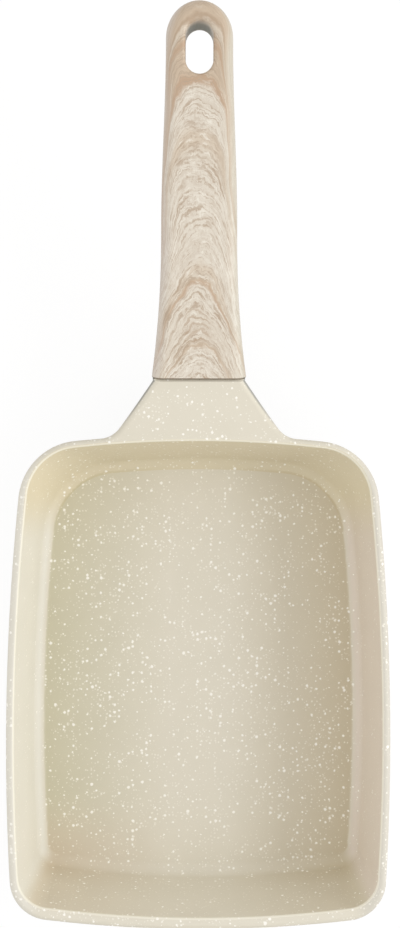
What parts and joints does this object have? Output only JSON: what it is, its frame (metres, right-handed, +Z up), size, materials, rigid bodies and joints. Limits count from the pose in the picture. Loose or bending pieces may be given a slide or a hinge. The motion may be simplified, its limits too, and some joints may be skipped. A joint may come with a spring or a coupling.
{
  "type": "tamagoyaki pan",
  "caption": "Rectangular cast frying pan with flared walls, a tapered cast neck and a rising wood-effect handle with a hanging slot, for rolled omelettes.",
  "frame": {"origin": "centre of the flat resting face under the pan", "axes": "+Z up out of the pan, +Y from the pan towards the tip of the handle, +X to the right"},
  "size_m": [0.15, 0.3531, 0.0668],
  "materials": {
    "coated_casting": "cast aluminium under a matte cream non-stick coating with fine white speckles",
    "base_steel": "ground ferritic stainless steel",
    "handle_moulding": "heat-resistant moulding with a satin pale wood-grain film",
    "fastener_steel": "bright zinc-plated steel"
  },
  "bodies": {
    "root": {"pan_body": "coated_casting", "induction_plate": "base_steel", "handle": "handle_moulding", "flat_washer": "fastener_steel", "spring_washer": "fastener_steel", "handle_screw": "fastener_steel"}
  },
  "joints": []
}
